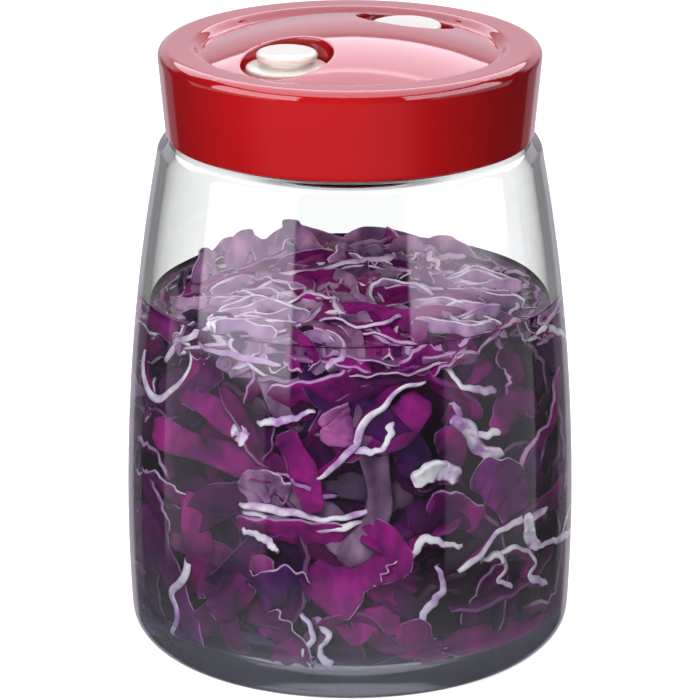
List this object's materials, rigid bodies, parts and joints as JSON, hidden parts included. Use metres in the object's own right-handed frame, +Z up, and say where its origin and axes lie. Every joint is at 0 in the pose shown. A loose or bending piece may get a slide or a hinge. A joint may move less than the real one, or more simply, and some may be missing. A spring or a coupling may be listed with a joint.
{
  "type": "pickle jar",
  "caption": "Glass fermenting jar with a red plastic lid and white valve pieces, filled with shredded red cabbage in brine.",
  "frame": {"origin": "centre of the jar's base, on the surface it stands on", "axes": "+Z up along the jar's axis; -Y is the front, with the valve knob to the front left"},
  "size_m": [0.135, 0.135, 0.195],
  "materials": {
    "clear_glass": "clear, smooth",
    "red_plastic": "high gloss",
    "white_plastic": "semi-gloss",
    "red_cabbage": "wet"
  },
  "bodies": {
    "root": {"jar_glass": "clear_glass", "lid": "red_plastic", "valve_knob": "white_plastic", "vent_button": "white_plastic", "cabbage": "red_cabbage"}
  },
  "joints": []
}
